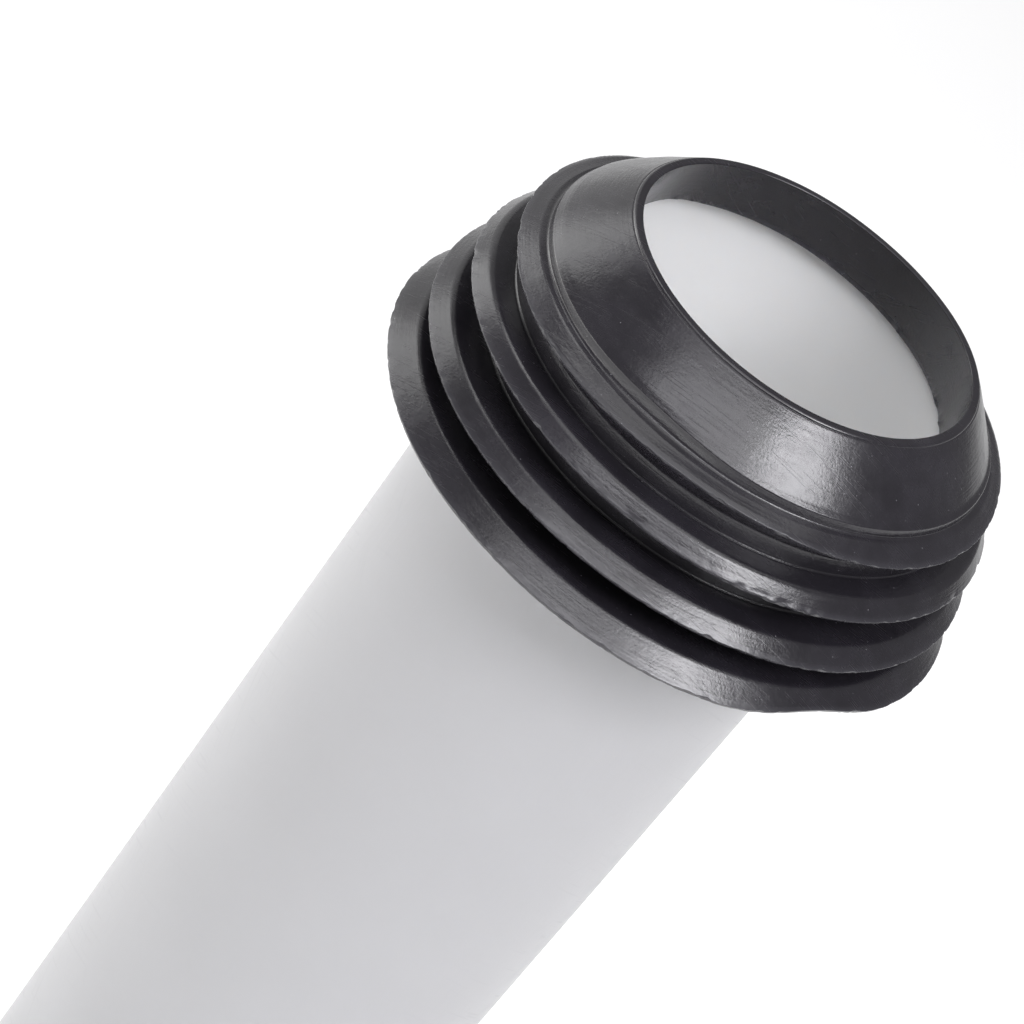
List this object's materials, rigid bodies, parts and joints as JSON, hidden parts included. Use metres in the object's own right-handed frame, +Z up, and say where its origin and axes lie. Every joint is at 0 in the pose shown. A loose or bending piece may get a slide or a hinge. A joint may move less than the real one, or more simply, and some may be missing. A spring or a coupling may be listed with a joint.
{
  "type": "toilet flush pipe",
  "caption": "Straight white flush pipe with a black finned rubber pan seal at one end and a ribbed screw coupling at the other.",
  "frame": {"origin": "centre of the pipe's lower (cistern) end, on the surface that the part stands on", "axes": "+Z up the pipe's axis to the mouth of the pan seal; +X and +Y are any two directions across the round pipe"},
  "size_m": [0.0686, 0.0686, 0.2562],
  "materials": {
    "pipe_plastic": "semi-gloss grey-white polypropylene",
    "seal_rubber": "satin charcoal moulded rubber",
    "nut_plastic": "fine-textured white moulded plastic",
    "ring_plastic": "smooth natural polyethylene"
  },
  "bodies": {
    "pipe": {"flush_pipe": "pipe_plastic"},
    "seal": {"pan_seal": "seal_rubber"},
    "washer": {"cone_washer": "seal_rubber"},
    "ring": {"slip_ring": "ring_plastic"},
    "nut": {"coupling_nut": "nut_plastic"}
  },
  "joints": [
    {"name": "seal_pull_off", "type": "slide", "parent": "pipe", "child": "seal", "axis": [0, 0, 1], "range_m": [0, 0.03]},
    {"name": "washer_slide", "type": "slide", "parent": "pipe", "child": "washer", "axis": [0, 0, 1], "range_m": [0, 0.17]},
    {"name": "ring_slide", "type": "slide", "parent": "washer", "child": "ring", "axis": [0, 0, 1], "range_m": [0, 0.03]},
    {"name": "nut_spin", "type": "hinge", "parent": "ring", "child": "nut", "pos_m": [0, 0, 0.0135], "axis": [0, 0, 1], "continuous": true}
  ]
}
